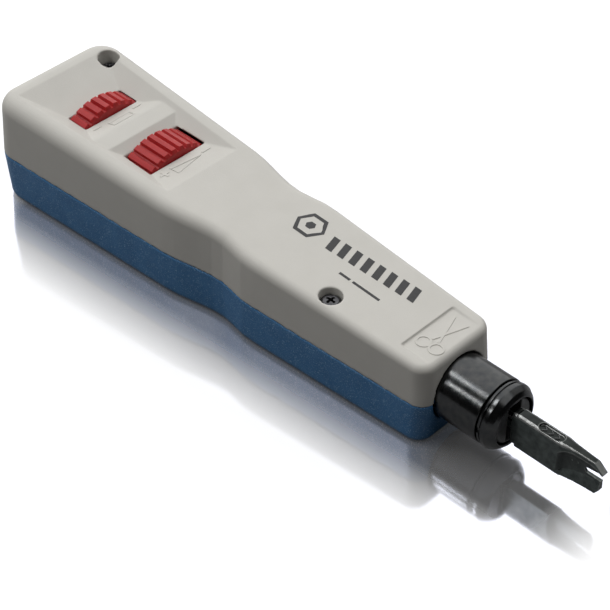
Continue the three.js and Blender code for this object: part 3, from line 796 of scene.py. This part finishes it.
def thumb_wheel(span, radius, bore):
    """A disc with flat-topped ribs that slope away towards its front face."""
    ribs, per_rib, rib_depth = 33, 20, 0.85
    rear_slope, front_slope, drop = 0.3, 0.45, 0.95
    first_rib = math.radians(-2)
    steps = ribs * per_rib

    def rib_radius(angle):
        phase = ribs * (angle - first_rib) / (2 * math.pi)
        from_middle = abs((phase + 0.5) % 1 - 0.5)
        return radius - rib_depth * smoothstep(from_middle, 0.27, 0.4)

    def limit_at(x):
        behind = 1 - (x - span[0]) / rear_slope
        ahead = 1 - (span[1] - x) / front_slope
        return radius - max(0, rear_slope * behind, drop * ahead)

    shares = [0, 0.1, 0.3, 0.5, 0.7, 0.9, 1, 1.15]
    stations = [span[0] + rear_slope * t for t in shares]
    stations += [span[1] - front_slope * t for t in reversed(shares)]
    rings = []
    for x in stations:
        limit = limit_at(x)
        ring = []
        for k in range(steps):
            angle = 2 * math.pi * k / steps
            r = min(limit, rib_radius(angle))
            ring.append((x, r * math.sin(angle), WHEEL_Z + r * math.cos(angle)))
        rings.append(ring)
    return cut(loft(rings), rod_x((span[0] - 1, span[1] + 1), bore, WHEEL_Z))


def face_cams(front):
    """Two opposite ramps that push the spring seat back as the wheel turns."""
    reach, middle, fall_per_radian = math.radians(36), 2.6, 1.5 / math.radians(25)
    inner, outer, steps = 6.2, 8.8, 12
    ramps = []
    for half_turn in (0, math.pi):
        rings = []
        for i in range(steps + 1):
            a = mix(-reach, reach, i / steps)
            top = front + middle - fall_per_radian * a
            section = [(front - 0.5, inner), (front - 0.5, outer), (top, outer), (top, inner)]
            along_y, along_z = math.cos(a + half_turn), math.sin(a + half_turn)
            rings.append([(x, r * along_y, WHEEL_Z + r * along_z) for x, r in section])
        ramps.append(loft(rings))
    return ramps


def impact_wheel():
    """The front wheel, which sets how far the main spring is pressed."""
    span = (-98.3, -89.3)
    wheel = join(thumb_wheel(span, 12.6, AXLE_HOLE_RADIUS), *face_cams(span[1]))
    piece(wheel, "impact_thumb_wheel", "impact_wheel", "red_wheel", ["impact_wheel"], crease=40)


def storage_wheel():
    """The wheel over the spare blade: a journal turns in the cross wall, and two keys lock the blade."""
    rear, front = -118.8, -112.9
    wall_side = -110.1
    ends = (front - 0.5, wall_side)
    journal = turned([
        (ends[0], STORAGE_BORE_RADIUS), (ends[0], JOURNAL_RADIUS), (ends[1], JOURNAL_RADIUS),
        (ends[1], STORAGE_BORE_RADIUS),
    ], WHEEL_Z)
    key_xs, key_zs = (-116.85, -114.85), (WHEEL_Z - 1, WHEEL_Z + 1)
    keys = [box(key_xs, ys, key_zs) for ys in ((2.7, 5.8), (-5.8, -2.7))]
    wheel = join(thumb_wheel((rear, front), 13.1, STORAGE_BORE_RADIUS), journal, *keys)
    piece(wheel, "storage_thumb_wheel", "storage_wheel", "red_wheel", ["storage_wheel"], crease=40)


# ---- collar and socket ----

def plunger_sleeve():
    """The sleeve that slides in the housing's nose, open at the front, with a flange as its stop."""
    back, front, floor_x = -14.2, 10.9, -11.5
    hole, bore = 2.8, 7.15
    outline = [
        (back, hole), (back, SLEEVE_RADIUS), (-6.1, SLEEVE_RADIUS), (-6.1, FLANGE_RADIUS),
        (-3.1, FLANGE_RADIUS), (-3.1, SLEEVE_RADIUS), (front, SLEEVE_RADIUS), (front, bore),
        (floor_x, bore), (floor_x, hole),
    ]
    body = cut(turned(rounded(outline, 0.25)), rod_y((-10, 10), PIN_HOLE_RADIUS, PIN_X))
    piece(body, "collar_sleeve", "plunger", "black_collar", ["plunger_sleeve"], crease=35)


def lock_ring():
    """The ring in front of the sleeve: a narrow band, a groove, the body and a rounded chamfer. A
    notch opens its band on the near side."""
    outline = [
        (11.2, 5.85), (11.2, 7.7), (11.9, 7.85), (12.0, 7.5), (12.25, 7.5), (12.35, 7.95), (13.4, 7.95),
        (14.7, 7.15), (15.4, 6.35), (15.5, 6.1), (15.3, 5.95), (13.4, 5.85),
    ]
    body = cut(turned(rounded(outline, 0.16)), box((11, 12), (-9, -7.2), (11.2, 12.7)))
    piece(body, "lock_ring_body", "plunger", "black_collar", ["lock_ring"], crease=35)


def blade_socket():
    """The core that holds the blade: a plug on the rod, a chamber and a slotted lip."""
    plug = [(-3, 0.05), (-3, 6.85), (1.1, 6.85), (1.1, 6), (10.9, 6)]
    lip = [(10.9, 5.6), (14.8, 5.6), (15.1, 5.3), (15.1, 0.05)]
    chamber = rod_x((4.7, 11.4), 4.7)
    slot = box((11.1, 16), (-2.1, 2.1), (AXIS_Z - 4.9, AXIS_Z + 4.9))
    rod_hole = rod_x((-4, 0.8), 2.8)
    pin_hole = rod_y((-8, 8), PIN_HOLE_RADIUS, PIN_X)
    ball_hole = rod_z((AXIS_Z, AXIS_Z + 7), 1.2, 8.5, 0)
    body = cut(turned(plug + lip), chamber, slot, rod_hole, pin_hole, ball_hole)
    softened(body, 0.16, 1)
    piece(body, "socket_core", "plunger", "black_socket", ["blade_socket"])


# ---- blade ----

def blade_section(x):
    """The blade cut across at x: flat sides, a rounded top, and past its root a hollow in each
    side that leaves a rim above and runs out over the lower tine."""
    past_root = max(0, x - BLADE_ROOT)
    bottom, top = 6.65 + 0.04 * past_root, 15.85 - 0.045 * past_root
    if x < BLADE_SHOULDER:
        bottom, top = 7.3, 15.55
    half = interpolated(BLADE_HALF_WIDTHS, x)
    edge = mix(1, 0.3, smoothstep(x, BLADE_ROOT - 1, BLADE_ROOT + 6))
    core = mix(half, 0.3, smoothstep(x, BLADE_ROOT, BLADE_ROOT + 1.4))
    crease = interpolated(BLADE_CREASE, x)
    rim = interpolated(BLADE_RIM, x)
    steps = 8
    points = [(half, bottom)]
    for i in range(steps + 1):
        t = 2 * i / steps - 1
        flare = t ** 4 if t > 0 else t * t / 4
        points.append((mix(core, half, flare), mix(crease, rim, i / steps)))
    for i in range(steps + 1):
        a = math.pi / 2 * i / steps
        points.append((half - edge * (1 - math.cos(a)), top - edge * (1 - math.sin(a))))
    return [(x, y, z) for y, z in points] + [(x, -y, z) for y, z in reversed(points)]


BLADE_FINISHES = ["black_blade", "blade_side", "ground_edge_and_rim_highlight", "rubbed_edge_and_highlight", "blade_hollow_shade"]


def blade_finish(point, normal):
    """The finish at a point of the blade's surface. Some finishes are painted light: a lighter band on the
    rounded top edges, partly edge wear and partly a painted highlight, a painted highlight along the rim,
    and painted shade in the hollow under the rim.
    """
    upright = abs(normal.y)
    hollowed = point.x > BLADE_ROOT + 0.1
    over_rim = point.z - interpolated(BLADE_RIM, point.x)
    sunk = interpolated(BLADE_HALF_WIDTHS, point.x) - abs(point.y)
    if point.x > 36.9 and normal.x > 0.5 and normal.z > 0.5:
        return "ground_edge_and_rim_highlight"
    # Rounded top edges: lighter metal, partly edge wear and partly a painted highlight.
    if point.z > 13 and 0.25 < upright < 0.95 and over_rim > 0.3:
        return "rubbed_edge_and_highlight"
    # A thin band along the rim: a painted highlight in the ground steel's colour.
    if hollowed and 0 < over_rim < 0.22 and sunk < 0.15:
        return "ground_edge_and_rim_highlight"
    # The hollow between rim and crease: painted shade.
    if hollowed and over_rim < 0 and point.z > interpolated(BLADE_CREASE, point.x):
        return "blade_hollow_shade"
    return "blade_side" if upright > 0.75 else "black_blade"


def blade_bar():
    """The blade without its lug: a bar that thins towards a slotted tip with a ground edge."""
    stations = [15.8, BLADE_SHOULDER - 0.1, BLADE_SHOULDER + 0.1, 24, BLADE_ROOT]
    stations += [BLADE_ROOT + 0.2 * i for i in range(1, 8)]
    stations += [BLADE_ROOT + 1.4 + 0.45 * i for i in range(1, 24)]
    bar = loft([blade_section(x) for x in stations])
    slot = [(34.4, 11.7), (34.8, 11.1), (42, 11), (42, 13.3), (38.9, 12.9), (34.8, 12.3)]
    ground = [(36.95, 15.45), (39.35, 13.4), (39, 12.9), (42, 12), (42, 18), (36.95, 18)]
    lower_end = [(37.7, 5), (37.7, 7), (38.6, 8.3), (38.75, 12), (42, 12), (42, 5)]
    return cut(bar, *[plate(outline, (-3, 3)) for outline in (slot, ground, lower_end)])


def mark_recess():
    """The stadium sunk in the blade's top round its mark."""
    x, y = BLADE_MARK
    half_straight = 2.1
    outline = []
    for px, py in round_path(1.15, 24):
        outline.append((x + (half_straight if px > 0 else -half_straight) + px, y + py))
    return loft([[(px, py, z) for px, py in outline] for z in (BLADE_MARK_FLOOR, 17)])


def blade():
    """A forked blade with a ground trimming edge above and its lug and neck behind."""
    neck = rod_x((10.6, 16.2), 1.7)
    lug = box((5.5, 11.1), (-4, 4), (AXIS_Z - BLADE_HALF, AXIS_Z + BLADE_HALF))
    bar = join(cut(blade_bar(), mark_recess()), neck, lug)
    softened(bar, 0.1, 2)
    finishes = [blade_finish(face.center, face.normal) for face in bar.data.polygons]
    piece(bar, "working_blade", "blade", "black_blade", ["blade"], finishes=BLADE_FINISHES)
    indices = [BLADE_FINISHES.index(finish) for finish in finishes]
    bar.data.polygons.foreach_set("material_index", indices)


def blade_mark():
    """Three small chevrons in the stadium on top of the blade."""
    middle, y = BLADE_MARK
    bm = bmesh.new()
    for x in (middle - 1.7, middle, middle + 1.7):
        chevron = [(x - 0.5, y + 0.7), (x + 0.3, y), (x - 0.5, y - 0.7)]
        stroke(bm, chevron, 0.25, lambda x: BLADE_MARK_FLOOR, 0.18)
    piece(as_object(bm), "blade_mark", "blade", "black_blade", crease=30, finishes=["black_socket"])


def spare_blade():
    """The stored blade, with locking notches in both edges."""
    half_height, notch_half_height = 4.4, 1.5
    half = [
        (-136.1, half_height), (-117.2, half_height), (-117.2, notch_half_height),
        (-114.4, notch_half_height), (-114.4, half_height), (-109.3, half_height), (-106.3, 2),
    ]
    outline = half + [(x, -z) for x, z in reversed(half)]
    bar = plate([(x, z + WHEEL_Z) for x, z in outline], (-BLADE_HALF, BLADE_HALF))
    softened(bar, 0.15, 2)
    piece(bar, "stored_blade", "spare_blade", "black_blade", ["spare_blade"])


# ---- springs ----

def coil(start, axis, length, radius, wire, turns):
    """A coil spring of a length from a start point, its wire of radius wire swept along a helix."""
    axis = Vector(axis)
    u = axis.orthogonal().normalized()
    v = axis.cross(u)
    per_turn, around = 28, 10
    steps = int(turns * per_turn)
    lead = (length - 2 * wire) / (2 * math.pi * turns * radius)
    rings = []
    for i in range(steps + 1):
        a = 2 * math.pi * i / per_turn
        out = u * math.cos(a) + v * math.sin(a)
        tangent = (v * math.cos(a) - u * math.sin(a) + axis * lead).normalized()
        side = tangent.cross(out)
        centre = Vector(start) + axis * mix(wire, length - wire, i / steps) + out * radius
        rings.append([centre + out * c + side * s for c, s in round_path(wire, around)])
    return loft(rings)


def main_spring():
    """The main spring, made as its rear turn on no body and its other turns on the root. In the tool its
    rear turn follows the spring seat, and the hammer presses the others.
    """
    rear, front, wire, turns = -80.5, -56.5, 0.75, 7
    pitch = (front - rear - 2 * wire) / turns
    joint = rear + pitch
    size = (6.2, wire)
    rear_turn = coil((rear, 0, AXIS_Z), (1, 0, 0), pitch + 2 * wire, *size, 1)
    piece(rear_turn, "main_coil_end", None, "spring_steel", ["main_spring"])
    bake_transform(rear_turn)
    length = front - joint
    others = coil((joint, 0, AXIS_Z), (1, 0, 0), length, *size, turns - 1)
    piece(others, "main_coil", "root", "spring_steel", ["main_spring"])
    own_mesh(others)


def return_spring():
    rear, length = ROD_WALL[1], 17.5
    spring = coil((rear, 0, AXIS_Z), (1, 0, 0), length, 3.6, 0.45, 6)
    piece(spring, "return_coil", "root", "spring_steel", ["return_spring"])
    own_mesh(spring)


def sear_spring():
    bottom, length = 15.5, 2.9
    spring = coil((-42, 0, bottom), (0, 0, 1), length, 0.85, 0.2, 3)
    piece(spring, "sear_coil", "hammer", "spring_steel", ["sear_spring"])
    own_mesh(spring)


def kept_nodes():
    """CAD pieces that show as they are, with broken edges and their slots' finishes."""
    for part in frame["record"]["subparts"]:
        node = frame["nodes"][part["node"]]
        if node.hide_render:
            continue
        node.data.materials.clear()
        node.data.materials.append(MATERIALS[part["material_slot"]])
        bevel = node.modifiers.new("edges", "BEVEL")
        bevel.width = 0.00008
        bevel.segments = 2
        bevel.limit_method = "ANGLE"
        bevel.angle_limit = math.radians(40)


# ---- stage, light and camera ----

def mirror_share(nodes, seen):
    """How much of the floor is a mirror to the camera: most beside the tool, and little past a
    fade. The tool's outline is taken as a taper that ends a little inside both ends."""
    near, far, fade, half_length = 0.87, 0.07, (3, 18), 75
    taper = (NOSE_HALF_WIDTH - BUTT_HALF_WIDTH) / -BUTT_X
    middle_half_width = NOSE_HALF_WIDTH - 1000 * NOSE * taper
    place = nodes.add("ShaderNodeSeparateXYZ")
    nodes.link(nodes.millimetres, place.inputs[0])
    past_end = nodes.math("SUBTRACT", nodes.math("ABSOLUTE", place.outputs["X"]), half_length)
    wall = nodes.math("ADD", nodes.math("MULTIPLY", place.outputs["X"], taper), middle_half_width)
    past_side = nodes.math("SUBTRACT", nodes.math("ABSOLUTE", place.outputs["Y"]), wall)
    squares = []
    for value in (past_end, past_side):
        outside = nodes.math("MAXIMUM", value, 0)
        squares.append(nodes.math("MULTIPLY", outside, outside))
    distance = nodes.math("SQRT", nodes.math("ADD", *squares))
    return nodes.math("MULTIPLY", nodes.ramp(distance, near, far, *fade), seen)


def floor():
    """A pale gloss floor. It looks white to the camera, mirrors what is close to the tool, and
    throws little light back up."""
    nodes = Nodes("floor")
    path = nodes.add("ShaderNodeLightPath").outputs
    seen = path["Is Camera Ray"]
    reflected = nodes.math("MULTIPLY", path["Is Glossy Ray"], 0.3)
    tone = nodes.ramp(nodes.math("MAXIMUM", seen, reflected), (0.07, 0.07, 0.075), (0.95, 0.95, 0.955), 0, 1)
    rough = nodes.ramp(nodes.noise(40), 0.9, 1.0)
    nodes.finish(tone, rough, fixed={"Emission Color": (1, 1, 1, 1)})
    nodes.link(nodes.math("MULTIPLY", seen, 0.18), nodes.shader.inputs["Emission Strength"])

    mirror = nodes.add("ShaderNodeBsdfAnisotropic")
    mirror.inputs["Color"].default_value = (0.86, 0.88, 1, 1)
    mirror.inputs["Roughness"].default_value = 0.09
    blend = nodes.add("ShaderNodeMixShader")
    nodes.link(mirror_share(nodes, seen), blend.inputs["Fac"])
    nodes.link(nodes.shader.outputs[0], blend.inputs[1])
    nodes.link(mirror.outputs[0], blend.inputs[2])
    nodes.link(blend.outputs[0], nodes.tree.nodes["Material Output"].inputs["Surface"])

    half_size, thickness = 3000, 10
    sheet = box((-half_size, half_size), (-half_size, half_size), (-thickness, 0))
    sheet.data.transform(Matrix.Scale(0.001, 4))
    sheet.name = "floor"
    sheet.data.materials.append(nodes.material)


def backdrop_light():
    """A world that is bright behind the tool, where the floor mirrors it, and dim elsewhere."""
    world = bpy.data.worlds.new("studio")
    world.use_nodes = True
    tree = world.node_tree
    coordinates = tree.nodes.new("ShaderNodeTexCoord")
    facing = tree.nodes.new("ShaderNodeVectorMath")
    facing.operation = "DOT_PRODUCT"
    facing.inputs[1].default_value = (-0.52, 0.53, 0.67)
    strength = tree.nodes.new("ShaderNodeMapRange")
    strength.interpolation_type = "SMOOTHSTEP"
    settings = {"From Min": 0.35, "From Max": 0.9, "To Min": 0.03, "To Max": 1.5}
    for name, number in settings.items():
        strength.inputs[name].default_value = number
    tree.links.new(coordinates.outputs["Generated"], facing.inputs[0])
    tree.links.new(facing.outputs["Value"], strength.inputs[0])
    tree.links.new(strength.outputs[0], tree.nodes["Background"].inputs["Strength"])
    tree.nodes["Background"].inputs["Color"].default_value = (1, 1, 1, 1)
    bpy.context.scene.world = world


def area_light(name, place, target, size, power):
    lamp = bpy.data.lights.new(name, "AREA")
    lamp.size = size
    lamp.energy = power
    obj = bpy.data.objects.new(name, lamp)
    obj.location = place
    obj.rotation_euler = (Vector(target) - Vector(place)).to_track_quat("-Z", "Y").to_euler()
    bpy.context.scene.collection.objects.link(obj)


def studio():
    floor()
    backdrop_light()
    bpy.context.scene.view_settings.view_transform = "Standard"
    area_light("overhead", (0.5, 0.15, 0.75), (0, 0, 0), 0.6, 1.2)
    area_light("high_softbox", (-0.289, -0.255, 0.692), (0.055, 0, 0.01), 0.2, 1.4)
    area_light("low_softbox", (-0.24, -0.57, 0.48), (0.07, 0, 0.01), 0.12, 0.7)


def camera():
    """A long lens that looks down on the blade's end and one side."""
    azimuth, elevation, roll = (math.radians(a) for a in (44.30, 42.165, 0.245))
    place = Matrix.Translation((0.22436, -0.22796, 0.29380))
    turn = Matrix.Rotation(azimuth, 4, "Z") @ Matrix.Rotation(math.pi / 2 - elevation, 4, "X")
    data = bpy.data.cameras.new("camera")
    data.lens = 109.56
    data.sensor_width = 36
    obj = bpy.data.objects.new("camera", data)
    obj.matrix_world = place @ turn @ Matrix.Rotation(roll, 4, "Z")
    bpy.context.scene.collection.objects.link(obj)
    bpy.context.scene.camera = obj


upper_shell()
lower_shell()
printed_marks()
wheel_marks()
trim_mark()
screw("nose_screw", "front_screw", SCREW_PLACES[0])
screw("butt_screw", "rear_screw", SCREW_PLACES[1])
impact_wheel()
storage_wheel()
plunger_sleeve()
lock_ring()
blade_socket()
blade()
blade_mark()
spare_blade()
main_spring()
return_spring()
sear_spring()
kept_nodes()
studio()
camera()
